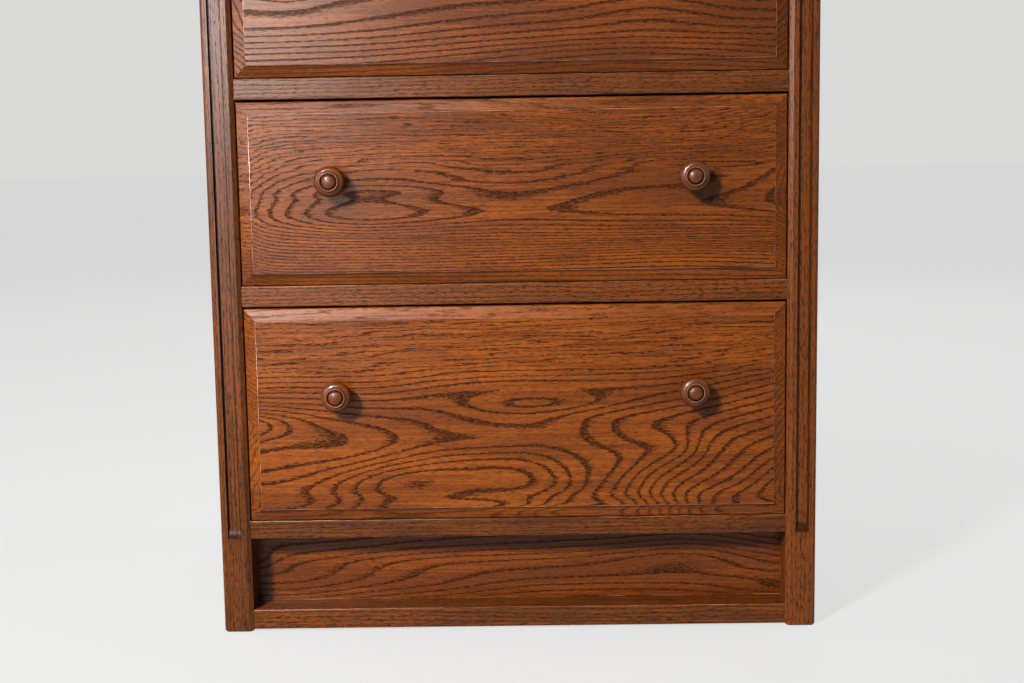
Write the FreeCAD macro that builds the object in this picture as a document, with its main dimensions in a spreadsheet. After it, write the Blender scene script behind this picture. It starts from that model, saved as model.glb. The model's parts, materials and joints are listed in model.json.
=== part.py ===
import FreeCAD, Part
import operator
import os
import Sketcher

# A stained oak chest of five graduated drawers. Lengths are in millimetres.
# +X is to the right, the drawers open towards -Y and +Z is up. The origin is under the middle of the chest.

SIZES = {
    # Outside of the frame, without the top board and the knobs
    "carcase_width": 580.0,
    "carcase_depth": 430.0,
    # Heights up the front, from the floor
    "foot_gap": 2.0,
    "plinth_rail_height": 20.0,
    "plinth_panel_height": 71.5,
    "bottom_rail_height": 18.0,
    "drawer_rail_height": 20.0,
    "top_rail_height": 20.0,
    "opening_1": 210.5,
    "opening_2": 176.5,
    "opening_3": 160.0,
    "opening_4": 140.0,
    "opening_5": 120.0,
    # Corner posts
    "post_width": 29.0,
    "post_depth": 45.0,
    "post_round": 3.5,
    "arris_width": 4.0,
    "arris_depth": 3.0,
    "foot_chamfer": 2.0,
    # Stopped channel down the face of each front post
    "channel_edge": 7.0,
    "channel_width": 12.5,
    "channel_depth": 4.0,
    "channel_scoop": 9.5,
    "channel_scoop_bite": 3.2,
    "channel_foot": 95.5,
    "channel_head": 12.0,
    # Front rails and the plinth
    "rail_setback": 3.0,
    "rail_arris": 0.8,
    "plinth_setback": 35.0,
    "plinth_panel_thickness": 10.0,
    # Joints between the pieces of the frame
    "joint_gap": 0.1,
    "tenon_length": 15.0,
    "tenon_thickness": 8.0,
    "tenon_shoulder": 7.0,
    "groove_depth": 8.0,
    # Framed sides
    "side_setback": 2.0,
    "side_rail_thickness": 20.0,
    "side_top_rail_height": 60.0,
    "side_bottom_rail_height": 70.0,
    "side_panel_setback": 6.0,
    "side_panel_thickness": 6.0,
    # Back
    "back_rail_thickness": 20.0,
    "back_top_rail_height": 60.0,
    "back_bottom_rail_height": 70.0,
    "back_panel_thickness": 5.0,
    "back_rebate": 9.0,
    # Top board and the dust panel under the lowest drawer
    "top_thickness": 22.0,
    "top_overhang": 12.0,
    "top_round": 7.0,
    "top_under_round": 2.0,
    "dust_panel_thickness": 5.0,
    # What the drawers run on, under and against
    "runner_width": 18.0,
    "runner_height": 12.0,
    "guide_height": 16.0,
    "stub_length": 8.0,
    "stub_width": 8.0,
    "stub_height": 14.0,
    "kicker_width": 25.0,
    "stop_length": 30.0,
    "stop_depth": 14.0,
    "stop_height": 6.0,
    "stop_spread": 150.0,
    # Drawer fronts
    "drawer_clearance": 1.0,
    "front_foot_gap": 0.6,
    "front_head_gap": 2.0,
    "front_setback": 3.5,
    "front_thickness": 16.5,
    "bevel_width": 11.0,
    "bevel_depth": 3.8,
    "field_step": 1.2,
    # Drawer boxes
    "drawer_rear_gap": 5.0,
    "drawer_side_thickness": 12.0,
    "drawer_side_drop": 6.0,
    "drawer_back_thickness": 11.0,
    "drawer_back_drop": 8.0,
    "drawer_back_inset": 6.0,
    "drawer_back_housing": 4.0,
    "drawer_bottom_thickness": 4.0,
    "drawer_bottom_raise": 9.0,
    "drawer_bottom_groove": 5.0,
    "tail_length": 11.0,
    "tail_width": 26.0,
    "tail_flare": 2.0,
    # Turned knobs, with reaches measured out from the field of the drawer front
    "knob_spread": 171.0,
    "knob_height_1": 125.8,
    "knob_height_2": 99.8,
    "knob_height_3": 97.0,
    "knob_height_4": 78.0,
    "knob_height_5": 66.0,
    "knob_radius": 14.75,
    "knob_length": 27.0,
    "knob_spigot_radius": 6.0,
    "knob_spigot_length": 20.0,
    "knob_neck_radius": 8.5,
    "knob_neck_length": 12.6,
    "knob_rim_width": 6.2,
    "knob_shoulder": 5.4,
    "knob_button_radius": 7.4,
}

# Dovetails on each drawer side, from the deepest drawer at the bottom to the shallowest
TAIL_COUNTS = (5, 4, 4, 3, 3)

doc = FreeCAD.newDocument("ChestOfDrawers")


class Measure:
    """A length that keeps the sheet expression it comes from beside its value."""

    def __init__(self, text, value):
        self.text = text
        self.value = value

    def __add__(self, other):
        return joined(self, "+", other)

    def __radd__(self, other):
        return joined(other, "+", self)

    def __sub__(self, other):
        return joined(self, "-", other)

    def __rsub__(self, other):
        return joined(other, "-", self)

    def __mul__(self, other):
        return joined(self, "*", other)

    def __rmul__(self, other):
        return joined(other, "*", self)

    def __truediv__(self, other):
        return joined(self, "/", other)

    def __neg__(self):
        return joined(0.0, "-", self)


OPERATIONS = {"+": operator.add, "-": operator.sub, "*": operator.mul, "/": operator.truediv}


def measure(value):
    """The value as a Measure, so that plain numbers and lengths mix."""
    if isinstance(value, Measure):
        return value
    return Measure("%.9g" % value, float(value))


def joined(first, sign, second):
    first, second = measure(first), measure(second)
    value = OPERATIONS[sign](first.value, second.value)
    return Measure("(%s %s %s)" % (first.text, sign, second.text), value)


class Sheet:
    """A spreadsheet of the document whose cells are read as attributes."""

    def __init__(self, name):
        self.sheet = doc.addObject("Spreadsheet::Sheet", name)
        self.rows = 0

    def enter(self, alias, content, value):
        self.rows += 1
        self.sheet.set("A%d" % self.rows, alias)
        self.sheet.set("B%d" % self.rows, content)
        self.sheet.setAlias("B%d" % self.rows, alias)
        entry = Measure("%s.%s" % (self.sheet.Name, alias), value)
        setattr(self, alias, entry)
        return entry

    def derive(self, alias, rule):
        return self.enter(alias, "=" + rule.text, rule.value)


size = Sheet("Sizes")
for alias, number in SIZES.items():
    size.enter(alias, str(number), number)

LEVELS = range(1, len(TAIL_COUNTS) + 1)


def of_level(name, level):
    return getattr(size, "%s_%d" % (name, level))


# Places that follow from the sizes. Depths are counted back from the front face of the posts.
place = Sheet("Places")
place.derive("inner_half", size.carcase_width / 2 - size.post_width)
place.derive("field_reach", size.bevel_depth + size.field_step - size.front_setback)
place.derive("front_y", (size.knob_length + place.field_reach - size.carcase_depth) / 2)
place.derive("bottom_rail_z", size.foot_gap + size.plinth_rail_height + size.plinth_panel_height)
place.derive("sill_1", place.bottom_rail_z + size.bottom_rail_height)
for level in LEVELS[1:]:
    below = getattr(place, "sill_%d" % (level - 1)) + of_level("opening", level - 1)
    place.derive("sill_%d" % level, below + size.drawer_rail_height)
place.derive("top_rail_z", getattr(place, "sill_%d" % LEVELS[-1]) + of_level("opening", LEVELS[-1]))
place.derive("post_height", place.top_rail_z + size.top_rail_height)
place.derive("rear_post_depth", size.carcase_depth - size.post_depth)
place.derive("side_rail_half", size.carcase_width / 2 - size.side_setback)
place.derive("side_panel_half", place.side_rail_half - size.side_panel_setback)
place.derive("side_panel_inner", place.side_panel_half - size.side_panel_thickness)
place.derive("dust_panel_z", place.sill_1 - size.runner_height - size.dust_panel_thickness)
place.derive("side_panel_z", place.dust_panel_z - size.groove_depth)
side_panel_top = place.post_height - size.side_top_rail_height + size.groove_depth
place.derive("side_panel_height", side_panel_top - place.side_panel_z)
place.derive("front_back_depth", size.front_setback + size.front_thickness)
drawer_end = place.rear_post_depth - size.drawer_rear_gap
place.derive("drawer_length", drawer_end - place.front_back_depth)
place.derive("drawer_half", place.inner_half - size.drawer_clearance)
place.derive("box_half", place.drawer_half - size.drawer_side_thickness)
doc.recompute()


def sill(level):
    return getattr(place, "sill_%d" % level)


def bind(item, **rules):
    """Tie properties of a document object to the sheets."""
    for name, rule in rules.items():
        item.setExpression(name, measure(rule).text)


def set_place(item, x=0.0, depth=0.0, z=0.0):
    """Put an object at an X, a depth behind the front of the posts and a height."""
    for name, rule in (("x", measure(x)), ("y", place.front_y + depth), ("z", measure(z))):
        item.setExpression("Placement.Base.%s" % name, rule.text)


def new_object(kind, label):
    item = doc.addObject(kind, label)
    item.Label = label
    return item


def board(label, x, depth, z, length, width, height):
    """A plain rectangular board, from its least corner."""
    item = new_object("Part::Box", label)
    bind(item, Length=length, Width=width, Height=height)
    set_place(item, x, depth, z)
    return item


def mirrored(label, source):
    """The right-hand twin of a left-hand piece."""
    item = new_object("Part::Mirroring", label)
    item.Source = source
    item.Base = FreeCAD.Vector(0, 0, 0)
    item.Normal = FreeCAD.Vector(1, 0, 0)
    return item


def group(label, members):
    """Like pieces that share one node, each still a solid of its own."""
    item = new_object("Part::Compound", label)
    item.Links = members
    return item


def origin_plane(body, role):
    return next(plane for plane in body.Origin.OriginFeatures if plane.Role == role)


def sketch_on(body, role, name, offset=0.0):
    """A sketch on one of the body's own origin planes, moved along that plane's normal."""
    sketch = body.newObject("Sketcher::SketchObject", "%s_%s" % (body.Name, name))
    sketch.AttachmentSupport = [(origin_plane(body, role), "")]
    sketch.MapMode = "FlatFace"
    sketch.setExpression("AttachmentOffset.Base.z", measure(offset).text)
    return sketch


def fix_point(sketch, geometry, position, point):
    """Hold a point of the sketch at X and Y distances from the sketch's origin."""
    for kind, rule in zip(("DistanceX", "DistanceY"), point):
        index = sketch.addConstraint(Sketcher.Constraint(kind, -1, 1, geometry, position, rule.value))
        sketch.setExpression("Constraints[%d]" % index, rule.text)


# Points and edges closer than this are the same one
JOINED = 1e-4


def vector(point):
    return FreeCAD.Vector(point[0].value, point[1].value, 0)


def outline(sketch, corners, via=None):
    """A closed outline through the corners. The edge after a corner in via is an arc through that point."""
    via = via or {}
    corners = [(measure(x), measure(y)) for x, y in corners]
    first = sketch.GeometryCount
    count = len(corners)
    arcs = []
    for i, start in enumerate(corners):
        end = corners[(i + 1) % count]
        if i in via:
            middle = (measure(via[i][0]), measure(via[i][1]))
            arcs.append((first + i, middle))
            edge = Part.Arc(vector(start), vector(middle), vector(end))
        else:
            edge = Part.LineSegment(vector(start), vector(end))
        sketch.addGeometry(edge, False)
    ends = []
    for i, start in enumerate(corners):
        starts_here = (sketch.getPoint(first + i, 1) - vector(start)).Length < JOINED
        ends.append((1, 2) if starts_here else (2, 1))
    for i in range(count):
        after = (i + 1) % count
        sketch.addConstraint(
            Sketcher.Constraint("Coincident", first + i, ends[i][1], first + after, ends[after][0])
        )
    for i, corner in enumerate(corners):
        fix_point(sketch, first + i, ends[i][0], corner)
    for arc, middle in arcs:
        point = sketch.addGeometry(Part.Point(vector(middle)), True)
        fix_point(sketch, point, 1, middle)
        sketch.addConstraint(Sketcher.Constraint("PointOnObject", point, 1, arc))


def rectangle(sketch, low, high):
    outline(sketch, [(low[0], low[1]), (high[0], low[1]), (high[0], high[1]), (low[0], high[1])])


def pad(body, sketch, length, both_ways=False):
    item = body.newObject("PartDesign::Pad", "%s_pad" % sketch.Name)
    item.Profile = sketch
    item.Midplane = both_ways
    bind(item, Length=length)
    doc.recompute()
    return item


def pocket(body, sketch, depth):
    """Cut against the sketch plane's normal, and make sure that the cut meets the wood."""
    before = body.Shape.Volume
    item = body.newObject("PartDesign::Pocket", "%s_cut" % sketch.Name)
    item.Profile = sketch
    bind(item, Length=depth)
    doc.recompute()
    if not body.Shape.Volume < before:
        raise RuntimeError("%s cuts nothing" % item.Name)
    return item


def lies_on(edge, line):
    """Whether an edge runs along a line, or in a plane, given by its fixed coordinates."""
    gaps = [
        getattr(end.Point, axis) - measure(rule).value
        for end in edge.Vertexes
        for axis, rule in line.items()
    ]
    return all(abs(gap) < JOINED for gap in gaps)


def dress_edges(body, kind, feature, lines, **rules):
    """Round or chamfer the edges of the last feature that run along any of the lines."""
    edges = enumerate(feature.Shape.Edges, start=1)
    chosen = ["Edge%d" % i for i, edge in edges if any(lies_on(edge, line) for line in lines)]
    item = body.newObject("PartDesign::%s" % kind, "%s_%s" % (feature.Name, kind.lower()))
    item.Base = (feature, chosen)
    bind(item, **rules)
    doc.recompute()
    return item


def cut_mortises(body, role, name, offset, depth, ends):
    """One pocket for several tenons or panel edges, with the gap that a glued joint needs round each."""
    gap = size.joint_gap
    sketch = sketch_on(body, role, name, offset)
    for low, high in ends:
        rectangle(sketch, (low[0] - gap, low[1] - gap), (high[0] + gap, high[1] + gap))
    return pocket(body, sketch, depth + gap)


# Corner posts

def rail_tenon(rail_z, height):
    """The end of a front rail's tenon as depth and height, kept in front of the side rails' tenons."""
    middle = rail_z + height / 2
    clear_of_side = size.post_depth - size.tenon_length - size.tenon_shoulder
    low = (size.rail_setback + size.tenon_shoulder, middle - size.tenon_thickness / 2)
    high = (clear_of_side, middle + size.tenon_thickness / 2)
    return low, high


def front_rails():
    """Label, lower edge and height of every rail across the front."""
    yield "plinth_rail", size.foot_gap, size.plinth_rail_height
    yield "bottom_rail", place.bottom_rail_z, size.bottom_rail_height
    for level in LEVELS[1:]:
        yield "drawer_rail_%d" % (level - 1), sill(level) - size.drawer_rail_height, size.drawer_rail_height
    yield "top_rail", place.top_rail_z, size.top_rail_height


def side_rails():
    """Name, lower edge, height and grooved edge of the two rails in each side."""
    top_z = place.post_height - size.side_top_rail_height
    yield "side_top_rail", top_z, size.side_top_rail_height, top_z
    bottom_z = place.dust_panel_z - size.side_bottom_rail_height
    yield "side_bottom_rail", bottom_z, size.side_bottom_rail_height, place.dust_panel_z


def side_tenon(rail_z, height):
    """The end of a side rail's tenon across the post, counted from the post's outer face."""
    middle = size.side_setback + size.side_rail_thickness / 2
    low = (middle - size.tenon_thickness / 2, rail_z + size.tenon_shoulder)
    high = (middle + size.tenon_thickness / 2, rail_z + height - size.tenon_shoulder)
    return low, high


def runner_stub(level):
    """The end of a runner's stub tenon across the post, counted from the post's outer face."""
    outer = size.carcase_width / 2 - place.side_panel_inner
    middle_x = (outer + size.post_width) / 2
    middle_z = sill(level) + (size.guide_height - size.runner_height) / 2
    low = (middle_x - size.stub_width / 2, middle_z - size.stub_height / 2)
    high = (middle_x + size.stub_width / 2, middle_z + size.stub_height / 2)
    return low, high


def side_panel_edge():
    """The edge of a side panel across the post, counted from the post's outer face."""
    outer = size.side_setback + size.side_panel_setback
    low = (outer, place.side_panel_z)
    high = (outer + size.side_panel_thickness, place.side_panel_z + place.side_panel_height)
    return low, high


def side_cuts():
    """Name, depth and outlines of the cuts that a side frame and the runners make in a post."""
    rail_ends = [side_tenon(rail_z, height) for _, rail_z, height, _ in side_rails()]
    yield "side_rails", size.tenon_length, rail_ends
    yield "side_panel", size.groove_depth, [side_panel_edge()]
    yield "runners", size.stub_length, [runner_stub(level) for level in LEVELS]


def post_blank(label, corners, rounded):
    """A post of the given plan, rounded at one corner of it and eased round the foot."""
    body = new_object("PartDesign::Body", label)
    plan = sketch_on(body, "XY_Plane", "plan")
    outline(plan, corners)
    blank = pad(body, plan, place.post_height)
    x, y = rounded
    corner = dress_edges(body, "Fillet", blank, [{"x": x, "y": y}], Radius=size.post_round)
    dress_edges(body, "Chamfer", corner, [{"z": 0}], Size=size.foot_chamfer)
    return body


def front_post(label):
    """Left front post: chamfered inner arris, rounded outer corner and a stopped channel."""
    body = post_blank(label, [
        (0, 0),
        (size.post_width - size.arris_width, 0),
        (size.post_width, size.arris_depth),
        (size.post_width, size.post_depth),
        (0, size.post_depth),
    ], rounded=(0, 0))

    head = place.post_height - size.channel_head
    channel = sketch_on(body, "YZ_Plane", "channel", size.channel_edge + size.channel_width)
    outline(channel, [
        (0, size.channel_foot),
        (size.channel_depth, size.channel_foot + size.channel_scoop),
        (size.channel_depth, head - size.channel_scoop),
        (0, head),
    ], via={
        0: (size.channel_scoop_bite, size.channel_foot + size.channel_scoop / 2),
        2: (size.channel_scoop_bite, head - size.channel_scoop / 2),
    })
    pocket(body, channel, size.channel_width)

    rail_ends = [rail_tenon(rail_z, height) for _, rail_z, height in front_rails()]
    cut_mortises(body, "YZ_Plane", "rails", size.post_width, size.tenon_length, rail_ends)
    panel_low = (size.plinth_setback, size.foot_gap + size.plinth_rail_height)
    panel_high = (size.plinth_setback + size.plinth_panel_thickness, place.bottom_rail_z)
    cut_mortises(body, "YZ_Plane", "plinth", size.post_width, size.groove_depth, [(panel_low, panel_high)])
    for name, depth, ends in side_cuts():
        cut_mortises(body, "XZ_Plane", name, depth + size.joint_gap - size.post_depth, depth, ends)
    set_place(body, -(size.carcase_width / 2))
    return body


def back_rails():
    """Label, lower edge and height of the two rails across the back."""
    tops = (
        ("back_top_rail", place.post_height, size.back_top_rail_height),
        ("back_bottom_rail", place.dust_panel_z, size.back_bottom_rail_height),
    )
    for label, top_z, height in tops:
        yield label, top_z - height, height


def back_tenon(rail_z, height):
    """The end of a back rail's tenon as depth and height in the rear post."""
    middle = size.post_depth - size.back_panel_thickness - size.back_rail_thickness / 2
    low = (middle - size.tenon_thickness / 2, rail_z + size.tenon_shoulder)
    high = (middle + size.tenon_thickness / 2, rail_z + height - size.tenon_shoulder)
    return low, high


def rear_post(label):
    """Left rear post, rebated at its inner back corner for the back panel."""
    rebate_depth = size.post_depth - size.back_panel_thickness
    body = post_blank(label, [
        (0, 0),
        (size.post_width, 0),
        (size.post_width, rebate_depth),
        (size.post_width - size.back_rebate, rebate_depth),
        (size.post_width - size.back_rebate, size.post_depth),
        (0, size.post_depth),
    ], rounded=(0, size.post_depth))
    rail_ends = [back_tenon(rail_z, height) for _, rail_z, height in back_rails()]
    cut_mortises(body, "YZ_Plane", "rails", size.post_width, size.tenon_length, rail_ends)
    for name, depth, ends in side_cuts():
        cut_mortises(body, "XZ_Plane", name, 0.0, depth, ends)
    set_place(body, -(size.carcase_width / 2), place.rear_post_depth)
    return body


# Rails and panels of the frame

def tenoned_rail(label, length, section, tenon):
    """A rail along its own X with a tenon at each end, both given by low and high corners in Y and Z."""
    body = new_object("PartDesign::Body", label)
    profile = sketch_on(body, "YZ_Plane", "section")
    rectangle(profile, *section)
    pad(body, profile, length, both_ways=True)
    tongue = sketch_on(body, "YZ_Plane", "tenon")
    rectangle(tongue, *tenon)
    return body, pad(body, tongue, length + 2 * size.tenon_length, both_ways=True)


def front_rail(label, rail_z, height):
    """A rail between the front posts, with softened front edges."""
    section = (size.rail_setback, rail_z), (size.post_depth, rail_z + height)
    tenon = rail_tenon(rail_z, height)
    body, last = tenoned_rail(label, 2 * place.inner_half, section, tenon)
    arrises = [{"y": size.rail_setback, "z": edge_z} for edge_z in (rail_z, rail_z + height)]
    dress_edges(body, "Chamfer", last, arrises, Size=size.rail_arris)
    set_place(body)
    return body


def groove_for_dust_panel(body):
    """A groove along the back of the bottom rail."""
    low = (-place.inner_half, place.dust_panel_z)
    high = (place.inner_half, place.dust_panel_z + size.dust_panel_thickness)
    floor = size.groove_depth + size.joint_gap - size.post_depth
    cut_mortises(body, "XZ_Plane", "groove", floor, size.groove_depth, [(low, high)])


def side_rail(label, rail_z, height, grooved_z):
    """A rail of the left side, turned to run from front to back, grooved for the panel."""
    length = size.carcase_depth - 2 * size.post_depth
    section = (size.side_setback, rail_z), (size.side_setback + size.side_rail_thickness, rail_z + height)
    body, _ = tenoned_rail(label, length, section, side_tenon(rail_z, height))
    outer = size.side_setback + size.side_panel_setback
    low = (outer, grooved_z - size.groove_depth)
    high = (outer + size.side_panel_thickness, grooved_z + size.groove_depth)
    end = length / 2 + size.tenon_length
    cut_mortises(body, "YZ_Plane", "groove", end, 2 * end, [(low, high)])
    body.Placement = FreeCAD.Placement(FreeCAD.Vector(), FreeCAD.Rotation(FreeCAD.Vector(0, 0, 1), -90))
    set_place(body, -(size.carcase_width / 2), size.carcase_depth / 2)
    return body


def back_rail(label, rail_z, height):
    low_depth = size.post_depth - size.back_panel_thickness - size.back_rail_thickness
    section = (low_depth, rail_z), (low_depth + size.back_rail_thickness, rail_z + height)
    body, _ = tenoned_rail(label, 2 * place.inner_half, section, back_tenon(rail_z, height))
    set_place(body, 0.0, place.rear_post_depth)
    return body


def side_panel(label):
    """The flat panel of the left side, held in the grooves of the posts and side rails."""
    front = size.post_depth - size.groove_depth
    return board(
        label, -place.side_panel_half, front, place.side_panel_z,
        size.side_panel_thickness, size.carcase_depth - 2 * front, place.side_panel_height,
    )


def plinth_panel(label):
    half = place.inner_half + size.groove_depth
    return board(
        label, -half, size.plinth_setback, size.foot_gap + size.plinth_rail_height,
        2 * half, size.plinth_panel_thickness, size.plinth_panel_height,
    )


def back_panel(label):
    half = place.inner_half + size.back_rebate - size.joint_gap
    low_z = place.dust_panel_z - size.back_bottom_rail_height
    return board(
        label, -half, size.carcase_depth - size.back_panel_thickness, low_z,
        2 * half, size.back_panel_thickness, place.post_height - low_z,
    )


def dust_panel(label):
    """Closes the chest under the lowest drawer, notched round the four posts."""
    body = new_object("PartDesign::Body", label)
    plan = sketch_on(body, "XY_Plane", "plan")
    wide = place.side_panel_inner - size.joint_gap
    narrow = place.inner_half - size.joint_gap
    front = size.post_depth - size.groove_depth
    rear = size.carcase_depth - size.back_panel_thickness - size.back_rail_thickness / 2
    front_notch = size.post_depth + size.joint_gap
    rear_notch = place.rear_post_depth - size.joint_gap
    half_plan = [
        (narrow, front), (narrow, front_notch), (wide, front_notch),
        (wide, rear_notch), (narrow, rear_notch), (narrow, rear),
    ]
    outline(plan, half_plan + [(-x, y) for x, y in reversed(half_plan)])
    pad(body, plan, size.dust_panel_thickness)
    set_place(body, 0.0, 0.0, place.dust_panel_z)
    return body


def top_board(label):
    """Overhangs the front and sides, with a rounded upper edge there and a flush back."""
    body = new_object("PartDesign::Body", label)
    plan = sketch_on(body, "XY_Plane", "plan")
    half = size.carcase_width / 2 + size.top_overhang
    rectangle(plan, (-half, -size.top_overhang), (half, size.carcase_depth))
    last = pad(body, plan, size.top_thickness)
    for edge_z, radius in ((size.top_thickness, size.top_round), (0, size.top_under_round)):
        rim = [{"x": half, "z": edge_z}, {"x": -half, "z": edge_z}, {"y": -size.top_overhang, "z": edge_z}]
        last = dress_edges(body, "Fillet", last, rim, Radius=radius)
    set_place(body, 0.0, 0.0, place.post_height)
    return body


# Runners, kickers and stops

def runner(label, level):
    """Left runner with its guide in one piece, stub-tenoned into the posts at both ends."""
    length = size.carcase_depth - 2 * size.post_depth
    inner = place.inner_half - size.runner_width
    body = new_object("PartDesign::Body", label)
    profile = sketch_on(body, "XZ_Plane", "section")
    outline(profile, [
        (-place.side_panel_inner, -size.runner_height),
        (-inner, -size.runner_height),
        (-inner, 0),
        (-place.inner_half, 0),
        (-place.inner_half, size.guide_height),
        (-place.side_panel_inner, size.guide_height),
    ])
    pad(body, profile, length, both_ways=True)
    stub = sketch_on(body, "XZ_Plane", "stub")
    low, high = runner_stub(level)
    edge = size.carcase_width / 2
    rectangle(stub, (low[0] - edge, low[1] - sill(level)), (high[0] - edge, high[1] - sill(level)))
    pad(body, stub, length + 2 * size.stub_length, both_ways=True)
    set_place(body, 0.0, size.carcase_depth / 2, sill(level))
    return body


def kicker(label):
    """Left strip under the top board that keeps the top drawer from tipping."""
    outer = place.side_rail_half - size.side_rail_thickness
    return board(
        label, -outer, size.post_depth, place.top_rail_z,
        size.kicker_width, size.carcase_depth - 2 * size.post_depth, size.top_rail_height,
    )


def drawer_stop(label, level):
    """Left block on the rail that the back of a drawer front comes up against."""
    return board(
        label, -size.stop_spread - size.stop_length / 2, place.front_back_depth, sill(level),
        size.stop_length, size.stop_depth, size.stop_height,
    )


# Drawers

def side_height(level):
    return of_level("opening", level) - size.drawer_side_drop


def tail_outline(level, number, gap):
    """Corners of a dovetail from its upper root round its end, as depth from the root line and height."""
    middle = side_height(level) * ((number + 0.5) / TAIL_COUNTS[level - 1])
    tip = size.tail_width / 2 + gap
    root = tip - size.tail_flare
    end = -(size.tail_length + gap)
    return [(0.0, middle + root), (end, middle + tip), (end, middle - tip), (0.0, middle - root)]


def drawer_front(label, level):
    """Raised and fielded front, socketed for the sides, grooved for the bottom and bored for the knobs."""
    body = new_object("PartDesign::Body", label)
    half = place.drawer_half
    low_z = size.front_foot_gap
    high_z = of_level("opening", level) - size.front_head_gap
    bevel_face = size.front_thickness + size.bevel_depth
    field_face = bevel_face + size.field_step

    blank = sketch_on(body, "XZ_Plane", "blank")
    rectangle(blank, (-half, low_z), (half, high_z))
    pad(body, blank, size.front_thickness)

    bevel_foot = sketch_on(body, "XZ_Plane", "bevel_foot", size.front_thickness)
    rectangle(bevel_foot, (-half, low_z), (half, high_z))
    field = sketch_on(body, "XZ_Plane", "field", bevel_face)
    rectangle(
        field,
        (size.bevel_width - half, low_z + size.bevel_width),
        (half - size.bevel_width, high_z - size.bevel_width),
    )
    doc.recompute()
    bevel = body.newObject("PartDesign::AdditiveLoft", "%s_bevel" % label)
    bevel.Profile = bevel_foot
    bevel.Sections = [field]
    bevel.Ruled = True
    doc.recompute()
    pad(body, field, size.field_step)

    sockets = sketch_on(body, "YZ_Plane", "sockets", half)
    for number in range(TAIL_COUNTS[level - 1]):
        outline(sockets, tail_outline(level, number, size.joint_gap))
    right_end = pocket(body, sockets, size.drawer_side_thickness + size.joint_gap)
    both_ends = body.newObject("PartDesign::Mirrored", "%s_both_ends" % label)
    both_ends.Originals = [right_end]
    both_ends.MirrorPlane = (origin_plane(body, "YZ_Plane"), [""])
    body.Tip = both_ends
    doc.recompute()

    groove_half = place.box_half + size.drawer_bottom_groove
    low = (-groove_half, size.drawer_bottom_raise)
    high = (groove_half, size.drawer_bottom_raise + size.drawer_bottom_thickness)
    floor = size.drawer_bottom_groove + size.joint_gap
    cut_mortises(body, "XZ_Plane", "groove", floor, size.drawer_bottom_groove, [(low, high)])

    bores = sketch_on(body, "XZ_Plane", "bores", field_face)
    for side in (-1, 1):
        centre = (side * size.knob_spread, of_level("knob_height", level))
        sketch_bore(bores, centre, size.knob_spigot_radius + size.joint_gap)
    pocket(body, bores, field_face)
    set_place(body, 0.0, place.front_back_depth, sill(level))
    return body


def sketch_bore(sketch, centre, radius):
    """A circle held by its centre and radius."""
    circle = Part.Circle(vector(centre), FreeCAD.Vector(0, 0, 1), radius.value)
    index = sketch.addGeometry(circle, False)
    fix_point(sketch, index, 3, centre)
    held = sketch.addConstraint(Sketcher.Constraint("Radius", index, radius.value))
    sketch.setExpression("Constraints[%d]" % held, radius.text)


def drawer_side(label, level):
    """Left side, dovetailed into the front, grooved for the bottom and housed for the back."""
    body = new_object("PartDesign::Body", label)
    height = side_height(level)
    profile = sketch_on(body, "YZ_Plane", "profile")
    corners = [(0.0, 0.0), (place.drawer_length, 0.0), (place.drawer_length, height), (0.0, height)]
    for number in reversed(range(TAIL_COUNTS[level - 1])):
        corners += tail_outline(level, number, 0.0)
    outline(profile, corners)
    pad(body, profile, size.drawer_side_thickness)

    bottom_top = size.drawer_bottom_raise + size.drawer_bottom_thickness
    low = (-size.tail_length, size.drawer_bottom_raise)
    high = (place.drawer_length, bottom_top)
    cut_mortises(
        body, "YZ_Plane", "groove", size.drawer_side_thickness, size.drawer_bottom_groove, [(low, high)]
    )
    back_end = place.drawer_length - size.drawer_back_inset
    low = (back_end - size.drawer_back_thickness, bottom_top)
    high = (back_end, height)
    cut_mortises(
        body, "YZ_Plane", "housing", size.drawer_side_thickness, size.drawer_back_housing, [(low, high)]
    )
    set_place(body, -place.drawer_half, place.front_back_depth, sill(level))
    return body


def drawer_back(label, level):
    """Stands on the drawer bottom, let into the sides."""
    half = place.box_half + size.drawer_back_housing
    low_z = size.drawer_bottom_raise + size.drawer_bottom_thickness
    back_end = place.front_back_depth + place.drawer_length - size.drawer_back_inset
    return board(
        label, -half, back_end - size.drawer_back_thickness, sill(level) + low_z,
        2 * half, size.drawer_back_thickness, side_height(level) - size.drawer_back_drop - low_z,
    )


def drawer_bottom(label, level):
    """Slides into the grooves from behind, under the drawer back."""
    groove = size.drawer_bottom_groove
    half = place.box_half + groove
    return board(
        label, -half, place.front_back_depth - groove, sill(level) + size.drawer_bottom_raise,
        2 * half, place.drawer_length + groove, size.drawer_bottom_thickness,
    )


def knob_turning(label):
    """One knob about its own Y axis: spigot, neck, rim, sloping shoulder and button."""
    body = new_object("PartDesign::Body", label)
    profile = sketch_on(body, "XY_Plane", "profile")
    rim_front = size.knob_neck_length + size.knob_rim_width
    shoulder_front = rim_front + size.knob_shoulder
    outline(profile, [
        (0, size.knob_spigot_length),
        (0, -size.knob_length),
        (size.knob_button_radius, -size.knob_length),
        (size.knob_button_radius, -shoulder_front),
        (size.knob_radius, -rim_front),
        (size.knob_radius, -size.knob_neck_length),
        (size.knob_neck_radius, -size.knob_neck_length),
        (size.knob_neck_radius, 0),
        (size.knob_spigot_radius, 0),
        (size.knob_spigot_radius, size.knob_spigot_length),
    ])
    doc.recompute()
    turning = body.newObject("PartDesign::Revolution", "%s_turned" % label)
    turning.Profile = profile
    turning.ReferenceAxis = (profile, ["V_Axis"])
    turning.Angle = 360
    doc.recompute()
    return body


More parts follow.
